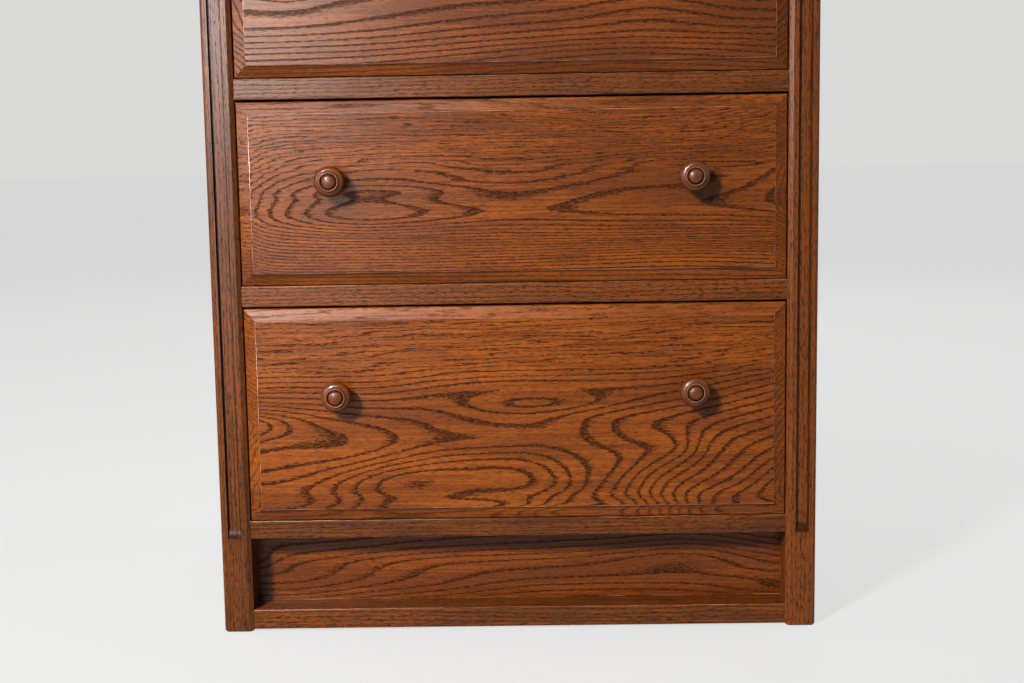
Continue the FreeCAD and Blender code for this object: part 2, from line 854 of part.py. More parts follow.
def knob_pair(label, level, turning):
    """Two knobs seated on the field of a drawer front."""
    pair = []
    for side, name in ((-1, "left"), (1, "right")):
        knob = new_object("App::Link", "%s_%s" % (label, name))
        knob.LinkedObject = turning
        set_place(
            knob, side * size.knob_spread, -place.field_reach, sill(level) + of_level("knob_height", level)
        )
        pair.append(knob)
    return group(label, pair)


def build_carcase():
    pieces = []
    for name, make in (("front_post", front_post), ("rear_post", rear_post), ("side_panel", side_panel)):
        left = make("%s_left" % name)
        pieces += [left, mirrored("%s_right" % name, left)]
    for name, rail_z, height, grooved_z in side_rails():
        left = side_rail("%s_left" % name, rail_z, height, grooved_z)
        pieces += [left, mirrored("%s_right" % name, left)]
    across_front = {rail[0]: front_rail(*rail) for rail in front_rails()}
    groove_for_dust_panel(across_front["bottom_rail"])
    pieces += across_front.values()
    pieces += [back_rail(*rail) for rail in back_rails()]
    pieces += [
        plinth_panel("plinth_panel"),
        back_panel("back_panel"),
        dust_panel("dust_panel"),
        top_board("top_board"),
    ]
    stops = []
    for level in LEVELS:
        label = "drawer_runners_%d" % level
        left = runner("%s_left" % label, level)
        pieces.append(group(label, [left, mirrored("%s_right" % label, left)]))
        stop = drawer_stop("drawer_stop_%d_left" % level, level)
        stops += [stop, mirrored("drawer_stop_%d_right" % level, stop)]
    pieces.append(group("drawer_stops", stops))
    left = kicker("drawer_kicker_left")
    pieces.append(group("drawer_kickers", [left, mirrored("drawer_kicker_right", left)]))
    return pieces


def build_drawers():
    pieces = []
    turning = knob_turning("knob_turning")
    for level in LEVELS:
        name = "drawer_%d" % level
        left = drawer_side("%s_left_side" % name, level)
        pieces += [
            drawer_front("%s_front" % name, level),
            left,
            mirrored("%s_right_side" % name, left),
            drawer_back("%s_back" % name, level),
            drawer_bottom("%s_bottom" % name, level),
            knob_pair("%s_knobs" % name, level, turning),
        ]
    return pieces


def write_parts(pieces):
    """Check every object and solid, then write one file for each piece."""
    doc.recompute()
    for item in doc.Objects:
        if "Invalid" in item.State or "Error" in item.State:
            raise RuntimeError("%s failed: %s" % (item.Name, item.State))
    for piece in pieces:
        shape = piece.Shape
        if shape.isNull() or not shape.isValid() or not shape.Solids:
            raise RuntimeError("%s has no sound solid" % piece.Label)
    os.makedirs("parts", exist_ok=True)
    for piece in pieces:
        piece.Shape.exportStep("parts/%s.step" % piece.Label)


write_parts(build_carcase() + build_drawers())
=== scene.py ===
import json
import math
from typing import NamedTuple

import bmesh
import bpy
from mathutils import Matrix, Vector


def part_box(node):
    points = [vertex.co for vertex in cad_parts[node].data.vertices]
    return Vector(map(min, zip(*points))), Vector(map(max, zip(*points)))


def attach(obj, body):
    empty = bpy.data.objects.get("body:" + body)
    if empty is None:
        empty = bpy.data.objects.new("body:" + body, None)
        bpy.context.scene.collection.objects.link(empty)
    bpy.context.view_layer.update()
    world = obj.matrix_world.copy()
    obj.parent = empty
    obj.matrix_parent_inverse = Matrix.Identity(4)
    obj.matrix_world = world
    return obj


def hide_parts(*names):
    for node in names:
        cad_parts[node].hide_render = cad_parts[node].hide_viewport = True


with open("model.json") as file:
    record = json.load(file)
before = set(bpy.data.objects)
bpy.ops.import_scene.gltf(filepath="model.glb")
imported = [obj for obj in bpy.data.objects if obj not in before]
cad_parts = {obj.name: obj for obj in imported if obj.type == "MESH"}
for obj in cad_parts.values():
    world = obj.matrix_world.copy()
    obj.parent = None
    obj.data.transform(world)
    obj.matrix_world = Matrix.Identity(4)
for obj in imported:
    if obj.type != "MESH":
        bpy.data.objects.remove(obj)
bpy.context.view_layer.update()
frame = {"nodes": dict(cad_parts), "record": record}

bl_info = {
    "name": "Oak Chest of Drawers",
    "version": (1, 0, 0),
    "blender": (4, 5, 0),
    "location": "3D View > Sidebar > Chest",
    "description": "Stained oak, turned knobs and a studio for a chest of drawers",
    "category": "Object",
}

MM = 0.001
MERGE = 1e-5
LEVELS = (1, 2, 3, 4, 5)
SIDES = ("left", "right")

# How far apart two boards' patterns lie, so that no two are alike
SEED_STEP = 61.0

# Lengths of the wood's patterns in millimetres, along the grain, across it and into the wood
WANDER = (240.0, 30.0, 30.0)
TEETH = (34.0, 1.1, 1.1)
LOOSE_RINGS = (70.0, 5.0, 5.0)
BOLDNESS = (90.0, 5.0, 5.0)
SPECKS = (5.0, 0.7, 0.7)
PORES = (7.0, 0.8, 0.8)
TONES = (190.0, 26.0, 26.0)
STREAKS = (70.0, 2.0, 2.0)
RUBS = (30.0, 9.0, 9.0)
DUST = (5.0, 1.0, 1.0)
CLOUDS = (60.0, 30.0, 30.0)

# The channel of a front post in millimetres: its middle out from the chest's, half its width, its foot
CHANNEL_MIDDLE = 276.75
CHANNEL_HALF = 5.6
CHANNEL_FOOT = 93.5

# Radius of a knob's bead and of the groove inside it, and its rim's reach, in millimetres
BEAD_RADIUS = 8.6
GROOVE_RADIUS = 7.35
RIM_REACH = 19.0

# Which edges are eased: how far back they lie at most, and how long and sharp they are at least
EASED_DEPTH = 6 * MM
EASED_LENGTH = 30 * MM
EASED_ANGLE = math.radians(25)


class OakColours(bpy.types.PropertyGroup):
    """Colours of the wood, as they are under plain light."""

    wood: bpy.props.FloatVectorProperty(
        name="Wood", description="Stained oak between its pores", subtype="COLOR",
        default=(0.290, 0.066, 0.002), min=0.0, max=1.0,
    )
    shade: bpy.props.FloatVectorProperty(
        name="Shade", description="Where the stain went in deeper", subtype="COLOR",
        default=(0.135, 0.028, 0.001), min=0.0, max=1.0,
    )
    frame: bpy.props.FloatVectorProperty(
        name="Frame", description="Darker oak of the posts and rails", subtype="COLOR",
        default=(0.195, 0.046, 0.003), min=0.0, max=1.0,
    )
    frame_shade: bpy.props.FloatVectorProperty(
        name="Frame's shade", description="Where the posts and rails took more stain", subtype="COLOR",
        default=(0.085, 0.021, 0.002), min=0.0, max=1.0,
    )
    # Vein also colours painted shade and shadow: in a post's channel, below a field's bottom edge and in a
    # knob's groove
    vein: bpy.props.FloatVectorProperty(
        name="Vein", description="Open pores of each year's spring wood", subtype="COLOR",
        default=(0.030, 0.008, 0.001), min=0.0, max=1.0,
    )
    vein_pale: bpy.props.FloatVectorProperty(
        name="Vein's specks", description="Wood between the open pores", subtype="COLOR",
        default=(0.155, 0.036, 0.007), min=0.0, max=1.0,
    )
    # Worn also colours the pale line on a field's arris and on a knob's bead, which is partly wear and
    # partly a painted highlight
    worn: bpy.props.FloatVectorProperty(
        name="Worn", description="Edges and nicks rubbed through to paler wood", subtype="COLOR",
        default=(0.55, 0.26, 0.12), min=0.0, max=1.0,
    )
    knob: bpy.props.FloatVectorProperty(
        name="Knob", description="Turned knobs between their pores", subtype="COLOR",
        default=(0.150, 0.030, 0.003), min=0.0, max=1.0,
    )
    plain: bpy.props.FloatVectorProperty(
        name="Plain wood", description="Unfinished wood inside the chest", subtype="COLOR",
        default=(0.50, 0.33, 0.18), min=0.0, max=1.0,
    )
    plain_shade: bpy.props.FloatVectorProperty(
        name="Plain wood's grain", description="Darker lines of the unfinished wood", subtype="COLOR",
        default=(0.36, 0.21, 0.10), min=0.0, max=1.0,
    )


class StudioSettings(bpy.types.PropertyGroup):
    """Where the camera stands and how the chest is lit."""

    camera_place: bpy.props.FloatVectorProperty(
        name="Camera", description="Where the camera stands", subtype="TRANSLATION", unit="LENGTH",
        default=(0.01997, -1.75247, 0.50487),
    )
    camera_turn: bpy.props.FloatVectorProperty(
        name="Camera turn", description="Which way the camera faces", subtype="EULER", unit="ROTATION",
        default=(math.radians(81.957), math.radians(0.9218), math.radians(0.6997)),
    )
    lens: bpy.props.FloatProperty(
        name="Lens", description="Focal length on a 36 mm wide film", unit="CAMERA", default=57.47,
    )
    key_power: bpy.props.FloatProperty(
        name="Key light", description="Power of the light at the upper left that casts the shadows",
        unit="POWER", default=17.8,
    )
    top_power: bpy.props.FloatProperty(
        name="Top light", description="Power of the light that shows in the gloss of the upper borders",
        unit="POWER", default=10.0,
    )
    window_power: bpy.props.FloatProperty(
        name="Window light", description="Power of the light that shows in the gloss at the left",
        unit="POWER", default=22.0,
    )
    fill_power: bpy.props.FloatProperty(
        name="Fill lights", description="Power of each light that shows the sides and the back",
        unit="POWER", default=22.0,
    )
    room: bpy.props.FloatProperty(
        name="Room light", description="Level of the light from all round", default=0.05, min=0.0,
    )
    backdrop: bpy.props.FloatProperty(
        name="Backdrop", description="How pale the room looks, where 1 is white",
        default=0.70, min=0.0, max=1.0,
    )
    floor: bpy.props.FloatVectorProperty(
        name="Floor", description="Colour of the floor", subtype="COLOR", default=(0.36, 0.357, 0.353),
    )


class Signal:
    """A shader socket whose sums and products are Math nodes."""

    def __init__(self, finish, socket):
        self.finish = finish
        self.socket = socket

    def out(self, name):
        """Another output of the same node."""
        return Signal(self.finish, self.socket.node.outputs[name])

    def math(self, operation, *others):
        inputs = dict(enumerate((self, *others)))
        return self.finish.node("ShaderNodeMath", {"operation": operation}, inputs)

    def __add__(self, other):
        return self.math("ADD", other)

    __radd__ = __add__

    def __sub__(self, other):
        return self.math("SUBTRACT", other)

    def __rsub__(self, other):
        return self.finish.node("ShaderNodeMath", {"operation": "SUBTRACT"}, {0: other, 1: self})

    def __mul__(self, other):
        return self.math("MULTIPLY", other)

    __rmul__ = __mul__

    def __truediv__(self, other):
        return self.math("DIVIDE", other)

    def __neg__(self):
        return self.math("MULTIPLY", -1.0)


class Shading:
    """The nodes of a material or of the room."""

    def __init__(self, owner):
        self.owner = owner
        owner.use_nodes = True
        self.tree = owner.node_tree
        self.tree.nodes.clear()

    def node(self, kind, settings=None, inputs=None, output=0):
        """Add a node, set it up, and give each input its number or its link."""
        made = self.tree.nodes.new(kind)
        for name, value in (settings or {}).items():
            setattr(made, name, value)
        for key, value in (inputs or {}).items():
            socket = made.inputs[key]
            if isinstance(value, Signal):
                self.tree.links.new(value.socket, socket)
            elif socket.type == "RGBA":
                socket.default_value = (*value[:3], 1.0)
            else:
                socket.default_value = value
        return Signal(self, made.outputs[output]) if made.outputs else None

    def seen(self):
        """1 for what the camera sees, straight or in a mirror or through glass, and 0 for plain light."""
        path = self.node("ShaderNodeLightPath", output="Is Camera Ray")
        return (path + path.out("Is Glossy Ray") + path.out("Is Transmission Ray")).math("MINIMUM", 1.0)


class Finish(Shading):
    """A material whose patterns lie in millimetres on the piece that wears it."""

    def __init__(self, name):
        super().__init__(bpy.data.materials.new(name))
        where = self.node("ShaderNodeTexCoord", output="Object")
        parts = self.node("ShaderNodeSeparateXYZ", None, {"Vector": where})
        self.axes = {axis: parts.out(axis) * (1 / MM) for axis in "XYZ"}

    def mix(self, share, first, second):
        """A colour between two."""
        return self.node("ShaderNodeMix", {"data_type": "RGBA"}, {0: share, 6: first, 7: second}, 2)

    def step(self, value, low, high):
        """0 up to low, 1 from high on, and an easy curve between."""
        limits = {"Value": value, "From Min": low, "From Max": high}
        return self.node("ShaderNodeMapRange", {"interpolation_type": "SMOOTHSTEP"}, limits)

    def ramp(self, value, low, high):
        """0 at low, 1 at high, and a straight line between."""
        return self.node("ShaderNodeMapRange", None, {"Value": value, "From Min": low, "From Max": high})

    def point(self, a, b, c=0.0):
        return self.node("ShaderNodeCombineXYZ", None, {"X": a, "Y": b, "Z": c})

    def stretch(self, point, lengths):
        """The point counted in the given lengths instead of millimetres."""
        scale = tuple(1 / length for length in lengths)
        return self.node("ShaderNodeVectorMath", {"operation": "MULTIPLY"}, {0: point, 1: scale})

    def noise(self, point, lengths, detail=2.0):
        """Smooth noise from 0 to 1 whose lumps have the given lengths."""
        inputs = {"Vector": self.stretch(point, lengths), "Scale": 1.0, "Detail": detail}
        return self.node("ShaderNodeTexNoise", None, inputs)

    def edge(self, low, high):
        """Distance to the nearest edge of a box, in millimetres: the middle one of those to its sides."""
        gaps = []
        for axis, least, most in zip("XYZ", low / MM, high / MM):
            gaps.append((most - least) / 2 - (self.axes[axis] - (least + most) / 2).math("ABSOLUTE"))
        less, more = (gaps[0].math(choice, gaps[1]) for choice in ("MINIMUM", "MAXIMUM"))
        return less.math("MAXIMUM", more.math("MINIMUM", gaps[2]))

    def surface(self, colour, roughness, height, depth, **others):
        """The shader itself, with a bump that is so many millimetres deep and other sockets by name."""
        relief = {"Strength": 1.0, "Distance": depth * MM, "Height": height}
        bump = self.node("ShaderNodeBump", None, relief)
        inputs = {"Base Color": colour, "Roughness": roughness, "Normal": bump}
        inputs.update((name.replace("_", " "), value) for name, value in others.items())
        return self.node("ShaderNodeBsdfPrincipled", None, inputs)

    def done(self, shader):
        """The finished material."""
        self.node("ShaderNodeOutputMaterial", None, {"Surface": shader})
        return self.owner


class Board(NamedTuple):
    """How a board's rings are counted, in millimetres along its grain, across it and into the wood.

    A board with a pitch was sawn near the heart of its tree, and its rings close round its middle.
    A swell lifts the count about one place: where it is along and across, how far it reaches each way,
    and by how much. Between the two heights of a fade the rings grow loose and a little fainter.
    """

    grain: str = "XZY"
    middle: float = 0.0
    face: float = 0.0
    start: float = 0.0
    climb: float = 0.29
    lean: float = 0.0
    dip: float = 0.12
    depth: float = 0.0
    pitch: float = 0.0
    sway: float = 0.7
    bold: float = 1.0
    fade: tuple = (1e4, 2e4)
    seed: float = 0.0
    swells: tuple = ()


FRONT_FACE = -202.25
FRONT_BOARDS = {
    1: Board(
        middle=190.0, face=FRONT_FACE, start=14.84, climb=-0.024, lean=0.0086, dip=0.35,
        depth=30.0, pitch=4.4, sway=0.22, fade=(238.0, 272.0), seed=11.0, swells=(
            (-10, 189, 104, 28, -14.0), (203, 115, 85, 31, 9.6), (-103, 151, 82, 24, -6.1),
            (23, 226, 86, 11, -2.8), (149, 180, 36, 21, -2.8), (19, 148, 67, 23, -4.9),
            (-136, 227, 63, 32, -1.5), (-285, 208, 72, 17, 4.7), (-239, 125, 92, 13, 2.7),
            (42, 119, 47, 14, 3.0), (246, 220, 146, 48, -8.6), (100, 166, 40, 24, -2.6),
            (285, 141, 57, 33, 6.7), (264, 231, 113, 47, 7.5), (-231, 189, 87, 34, -3.1),
            (-8, 126, 170, 6, -1.3), (-15, 190, 76, 19, 7.4),
        ),
    ),
    2: Board(
        middle=415.0, face=FRONT_FACE, start=12.32, climb=0.051, lean=0.0039, dip=0.35,
        depth=25.0, pitch=2.9, sway=0.25, fade=(430.0, 470.0), seed=62.0, swells=(
            (-166, 407, 170, 17, 3.0), (-97, 454, 113, 24, 3.8), (167, 457, 78, 16, 3.4),
            (-236, 412, 67, 26, -3.8), (63, 430, 170, 36, -7.4), (155, 482, 170, 50, -11.5),
            (-112, 431, 120, 7, 1.3), (87, 452, 117, 50, 9.4), (285, 476, 170, 48, 10.5),
            (162, 369, 170, 17, -3.0), (-285, 380, 34, 50, -6.8), (-285, 455, 47, 38, -4.5),
        ),
    ),
    3: Board(
        middle=618.0, face=FRONT_FACE, start=-0.7, climb=-0.1135, dip=0.35, sway=0.35, seed=123.0, swells=(
            (-225, 585, 170, 23, -2.0), (-206, 637, 29, 18, -7.6), (110, 549, 170, 22, 3.1),
            (131, 602, 65, 26, 1.4), (-11, 644, 170, 38, 1.7),
        ),
    ),
    4: Board(
        middle=786.0, face=FRONT_FACE, depth=24.0, pitch=4.2, climb=0.0, dip=0.35, lean=0.004,
        sway=0.9, seed=184.0,
        swells=((-60, 790, 90, 22, 3.2), (140, 776, 80, 18, 2.4), (230, 800, 60, 20, -2.0)),
    ),
    5: Board(
        middle=938.0, face=FRONT_FACE, depth=20.0, pitch=3.6, climb=0.0, dip=0.35, lean=-0.006,
        sway=0.9, seed=245.0,
        swells=((80, 936, 100, 16, 3.0), (-170, 944, 70, 18, 2.6)),
    ),
}
PLINTH_BOARD = Board(
    middle=58.0, face=-165.75, start=2.9, climb=0.1637, lean=0.0023, sway=0.3, bold=0.85,
    seed=306.0, swells=(
        (-245, 33, 131, 42, 5.0), (-80, 30, 73, 16, 1.2), (-132, 59, 170, 12, -1.0),
        (175, 73, 67, 28, -1.7), (-285, 64, 37, 13, 3.1), (62, 106, 170, 37, -2.1),
        (280, 27, 72, 8, 1.7), (139, 61, 102, 14, -1.4),
    ),
)


def ring_count(finish, board, along, across, deep):
    """How many of the tree's rings have been passed at each place of the board."""
    height = across - board.middle
    rings = height * board.climb + along * board.lean + deep * board.dip + board.start
    if board.pitch:
        rings = rings - (height * height + board.depth ** 2).math("SQRT") / board.pitch
    flat = finish.point(along, across)
    for x, z, length, reach, lift in board.swells:
        spot = finish.stretch(flat, (length, reach, 1.0))
        centre = (x / length, z / reach, 0.0)
        gap = finish.node("ShaderNodeVectorMath", {"operation": "DISTANCE"}, {0: spot, 1: centre}, "Value")
        rings = (gap * gap * -1.0).math("EXPONENT").math("MULTIPLY_ADD", lift, rings)
    spot = finish.point(along, across, deep + board.seed)
    return rings + (finish.noise(spot, WANDER) - 0.5) * (2 * board.sway)


class Grain:
    """Masks of a piece of oak: its spring wood, its fine pores and the slow change of its tone."""

    def __init__(self, finish, board):
        along, across, deep = (finish.axes[axis] for axis in board.grain)
        deep = deep - board.face
        self.point = finish.point(along, across, deep + board.seed)
        ragged = along + (finish.noise(self.point, TEETH) - 0.5) * 8.5
        fading = finish.step(across, *board.fade)
        loose = (finish.noise(self.point, LOOSE_RINGS) - 0.5) * fading * 3.0
        phase = (ring_count(finish, board, ragged, across, deep) + loose).math("FRACT")
        spring = finish.ramp(phase, 0.0, 0.10).math("MINIMUM", finish.ramp(phase, 0.48, 0.14))
        strength = (0.55 + finish.noise(self.point, BOLDNESS) * 0.75) * (0.62 * board.bold)
        strength = strength * (1 - fading * 0.25)
        speck = finish.noise(self.point, SPECKS, 3.0) - 0.5
        self.spring = finish.step(spring * strength + speck * 1.3, 0.21, 0.37)
        self.pores = finish.step(finish.noise(self.point, PORES, 3.0), 0.54, 0.60)
        tone = finish.noise(self.point, TONES, 3.0)
        streak = finish.noise(self.point, STREAKS, 3.0)
        self.shade = finish.step(tone * 0.5 + streak * 0.5, 0.64, 0.36)


def nicks(finish, point):
    """Small scattered knocks in the lacquer."""
    spot = finish.stretch(point, (60.0, 45.0, 1e6))
    cells = finish.node("ShaderNodeTexVoronoi", None, {"Vector": spot, "Scale": 1.0})
    chance = finish.node("ShaderNodeSeparateColor", None, {"Color": cells.out("Color")})
    size = cells + finish.noise(point, (2.4, 1.4, 1.4)) * 0.03
    return (1 - finish.step(size, 0.022, 0.045)) * finish.step(chance.out("Red"), 0.60, 0.65)


def oak(name, node, board, tones, colours, stain=0.0, pores=0.5, painted_shade=None, raised=False):
    """Stained and lacquered oak for one piece, worn along its edges, with painted shade where a mask for it
    is given; a raised front also gets a painted shadow below its field and a pale arris line that is partly
    wear and partly a painted highlight.
    """
    finish = Finish(name)
    grain = Grain(finish, board)
    spring = grain.spring
    low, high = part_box(node)
    worn = 1 - finish.step(finish.edge(low, high), 0.2, 1.1)
    rubbed = finish.step(finish.noise(grain.point, RUBS, 3.0), 0.40, 0.66)
    film = 0.36 * (1 - spring * 0.8) + worn * 0.25
    wear_and_painted_highlight = (worn * rubbed * 0.45).math("MAXIMUM", nicks(finish, grain.point) * 0.8)
    wood = finish.mix(grain.shade * 0.9 + stain, *tones)
    if raised:
        depth = finish.axes["Y"] - board.face
        slope = finish.step(depth, 0.9, 1.2)
        spring = spring * (1 - slope * 0.3)
        # A paler line all round the field's arris, partly wear and partly a painted highlight; the arris
        # also gets more coat
        arris = finish.step(depth, 0.02, 0.1) - finish.step(depth, 0.6, 0.9)
        wear_and_painted_highlight = wear_and_painted_highlight.math("MAXIMUM", arris * (0.12 + rubbed * 0.45))
        film = film.math("MAXIMUM", arris * 0.9)
        # Painted shadow: a dark band in the vein colour at the foot of the field's step, along the bottom
        # border only
        painted_shadow_band = 1 - finish.step(finish.axes["Z"], low.z / MM + 14.0, low.z / MM + 20.0)
        wood = finish.mix((slope - finish.step(depth, 1.5, 2.1)) * painted_shadow_band * 0.6, wood, colours.vein)
    wood = finish.mix(grain.pores * pores, wood, colours.vein)
    dust = finish.step(finish.noise(grain.point, DUST), 0.48, 0.60)
    wood = finish.mix(spring * 0.95, wood, finish.mix(dust * 0.7, colours.vein, colours.vein_pale))
    if painted_shade:
        # Painted shade: the given mask darkens the wood towards the vein colour and takes some coat off
        painted_shade_mask = painted_shade(finish) * (0.6 + rubbed * 0.3)
        wood = finish.mix(painted_shade_mask, wood, colours.vein)
        film = film * (1 - painted_shade_mask)
    colour = finish.mix(wear_and_painted_highlight, wood, colours.worn)
    cloud = finish.noise(grain.point, CLOUDS, 3.0)
    roughness = 0.32 + spring * 0.2 + grain.pores * 0.08 + (cloud - 0.5) * 0.10
    height = -(spring + grain.pores * 0.5)
    surface = finish.surface(
        colour, roughness, height, 0.16, Specular_IOR_Level=0.04, Coat_Weight=film, Coat_Roughness=0.25,
    )
    return finish.done(surface)


def channel_painted_shade(finish):
    """Painted shade along both corners of a post's channel and in its scooped end."""
    out, up = finish.axes["X"].math("ABSOLUTE"), finish.axes["Z"]
    corner = (out - CHANNEL_MIDDLE).math("ABSOLUTE")
    sides = 1 - finish.step((corner - CHANNEL_HALF).math("ABSOLUTE"), 0.5, 1.3)
    scoop = 1 - finish.step(up, CHANNEL_FOOT + 7.5, CHANNEL_FOOT + 11.5)
    end = (1 - finish.step(corner, CHANNEL_HALF, CHANNEL_HALF + 0.6)) * scoop
    return sides.math("MAXIMUM", end) * finish.step(up, CHANNEL_FOOT, CHANNEL_FOOT + 1.5)


def plain_wood(name, board, colours):
    """Unfinished wood of the drawer boxes and the back."""
    finish = Finish(name)
    grain = Grain(finish, board)
    share = grain.shade * 0.5 + grain.spring * 0.4 + grain.pores * 0.2
    colour = finish.mix(share, colours.plain, colours.plain_shade)
    return finish.done(finish.surface(colour, 0.62 + grain.pores * 0.1, -grain.pores, 0.1))


def turned_oak(name, out, up, colours):
    """Dark glossy oak of a pair of knobs, paler on the bead, partly from wear and partly as a painted
    highlight, with painted shade in the groove round the button.
    """
    finish = Finish(name)
    across, above = finish.axes["X"].math("ABSOLUTE") - out, finish.axes["Z"] - up
    radius = (across * across + above * above).math("SQRT")
    front = finish.step(FRONT_FACE - finish.axes["Y"], RIM_REACH, RIM_REACH + 2.0)
    bead = (1 - finish.step((radius - BEAD_RADIUS).math("ABSOLUTE"), 0.2, 0.9)) * front
    groove = (1 - finish.step((radius - GROOVE_RADIUS).math("ABSOLUTE"), 0.3, 0.6)) * front
    point = finish.point(finish.axes["Y"], finish.axes["X"], finish.axes["Z"])
    pores = finish.step(finish.noise(point, (12.0, 0.8, 0.5)), 0.54, 0.72)
    cloud = finish.noise(point, (40.0, 9.0, 5.0), 3.0)
    wood = finish.mix(finish.step(cloud, 0.66, 0.36) * 0.7, colours.knob, colours.frame_shade)
    wood = finish.mix(pores * 0.65, wood, colours.vein)
    # Paler on the bead: partly wear, partly a painted highlight
    wood = finish.mix(bead * (0.10 + cloud * 0.4), wood, colours.worn)
    # Painted shade in the groove round the button, in the vein colour
    colour = finish.mix(groove * 0.85, wood, colours.vein)
    return finish.done(finish.surface(colour, 0.20 + pores * 0.12, -pores, 0.06, Specular_IOR_Level=0.32))


def dress(node, material):
    """Give a piece of the frame its finish."""
    slots = frame["nodes"][node].data.materials
    slots.clear()
    slots.append(material)


def pick(*objects):
    """Select these objects alone."""
    bpy.ops.object.select_all(action="DESELECT")
    for item in objects:
        item.select_set(True)
    bpy.context.view_layer.objects.active = objects[0]


def ease(node, material, body, width=0.6):
    """Put a copy in a piece's place, with the long edges of its front eased as with a plane."""
    piece = bpy.data.objects.new("eased_" + node, frame["nodes"][node].data.copy())
    bpy.context.collection.objects.link(piece)
    pick(piece)
    bpy.ops.object.mode_set(mode="EDIT")
    bpy.ops.mesh.select_all(action="SELECT")
    bpy.ops.mesh.remove_doubles(threshold=MERGE)
    bpy.ops.mesh.dissolve_limited(angle_limit=math.radians(0.5))
    bpy.ops.mesh.select_all(action="DESELECT")
    bpy.ops.mesh.select_mode(type="EDGE")
    mesh = bmesh.from_edit_mesh(piece.data)
    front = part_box(node)[0].y + EASED_DEPTH
    for edge in mesh.edges:
        sharp = len(edge.link_faces) == 2 and edge.calc_face_angle_signed() > EASED_ANGLE
        long = edge.calc_length() > EASED_LENGTH
        edge.select_set(sharp and long and all(corner.co.y < front for corner in edge.verts))
    bmesh.update_edit_mesh(piece.data)
    bpy.ops.mesh.bevel(offset=width * MM, segments=3, affect="EDGES")
    bpy.ops.object.mode_set(mode="OBJECT")
    bpy.ops.object.shade_smooth_by_angle(angle=math.radians(24))
    normals = piece.modifiers.new("normals", "WEIGHTED_NORMAL")
    normals.keep_sharp = True
    bpy.ops.object.modifier_apply(modifier=normals.name)
    piece.data.materials.clear()
    piece.data.materials.append(material)
    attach(piece, body)
    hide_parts(node)


class FinishFronts(bpy.types.Operator):
    """Stain and lacquer the drawer fronts"""

    bl_idname = "chest.finish_fronts"
    bl_label = "Finish the drawer fronts"

    # How much more stain a front took than the lowest one
    STAINS = {2: 0.12, 3: 0.42, 4: 0.1}

    def execute(self, context):
        colours = context.scene.chest_oak
        for level, board in FRONT_BOARDS.items():
            node = "drawer_%d_front" % level
            tones = (colours.wood, colours.shade)
            stain = self.STAINS.get(level, 0.0)
            finish = oak("oak_front_%d" % level, node, board, tones, colours, stain, raised=True)
            ease(node, finish, "drawer_%d" % level, 0.9)
        return {"FINISHED"}


class FinishFrame(bpy.types.Operator):
    """Stain and lacquer the posts, rails, sides, plinth and top"""

    bl_idname = "chest.finish_frame"
    bl_label = "Finish the frame"

    # Straight-grained boards, and wide ones sawn near the heart
    STRAIGHT = Board(climb=0.24, sway=1.6, bold=0.65)
    WIDE = Board(climb=0.0, lean=0.004, depth=50.0, pitch=8.0, sway=2.0, bold=0.8)
    # How much more or less stain a piece took than its neighbours
    STAINS = {
        "front_post_left": 0.12, "front_post_right": -0.85, "plinth_rail": -0.15, "bottom_rail": 0.1,
        "drawer_rail_1": -0.45,
    }

    def execute(self, context):
        colours = context.scene.chest_oak
        posts = ["front_post_" + side for side in SIDES]
        upright = posts + ["rear_post_" + side for side in SIDES]
        lying = ["top_rail", "bottom_rail", "plinth_rail"]
        lying += ["drawer_rail_%d" % level for level in LEVELS[:-1]]
        endways = [name + "_" + side for name in ("side_top_rail", "side_bottom_rail") for side in SIDES]
        panels = ["side_panel_" + side for side in SIDES]
        tones = (colours.frame, colours.frame_shade)
        seed = 400.0
        for grain, sawn, names in (
            ("ZXY", self.STRAIGHT._replace(bold=0.5), upright), ("XZY", self.STRAIGHT, lying),
            ("YZX", self.STRAIGHT, endways), ("ZYX", self.WIDE, panels), ("XYZ", self.WIDE, ["top_board"]),
        ):
            for node in names:
                seed += SEED_STEP
                board = sawn._replace(grain=grain, seed=seed)
                stain = self.STAINS.get(node, 0.0)
                # Posts get painted shade in their channel corners and scooped end
                painted_shade = channel_painted_shade if node in posts else None
                finish = oak("oak_" + node, node, board, tones, colours, stain, 0.85, painted_shade)
                if node in posts + lying:
                    ease(node, finish, "carcase")
                else:
                    dress(node, finish)
        tones = (colours.wood, colours.shade)
        dress("plinth_panel", oak("oak_plinth_panel", "plinth_panel", PLINTH_BOARD, tones, colours, 0.5))
        return {"FINISHED"}


class FinishInsides(bpy.types.Operator):
    """Give the drawer boxes, their runners and the back plain unfinished wood"""

    bl_idname = "chest.finish_insides"
    bl_label = "Finish the insides"

    def execute(self, context):
        colours = context.scene.chest_oak
        seed = 2000.0
        climbs = {"plain_wood": 0.25, "plywood": 0.06}
        for part in frame["record"]["subparts"]:
            if part["material_slot"] in climbs:
                node = part["node"]
                seed += SEED_STEP
                low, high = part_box(node)
                size = high - low
                grain = "XZY" if size.x > max(size.y, size.z) else "ZXY" if size.z > size.y else "YZX"
                board = Board(grain, climb=climbs[part["material_slot"]], sway=1.2, seed=seed)
                dress(node, plain_wood("plain_" + node, board, colours))
        return {"FINISHED"}


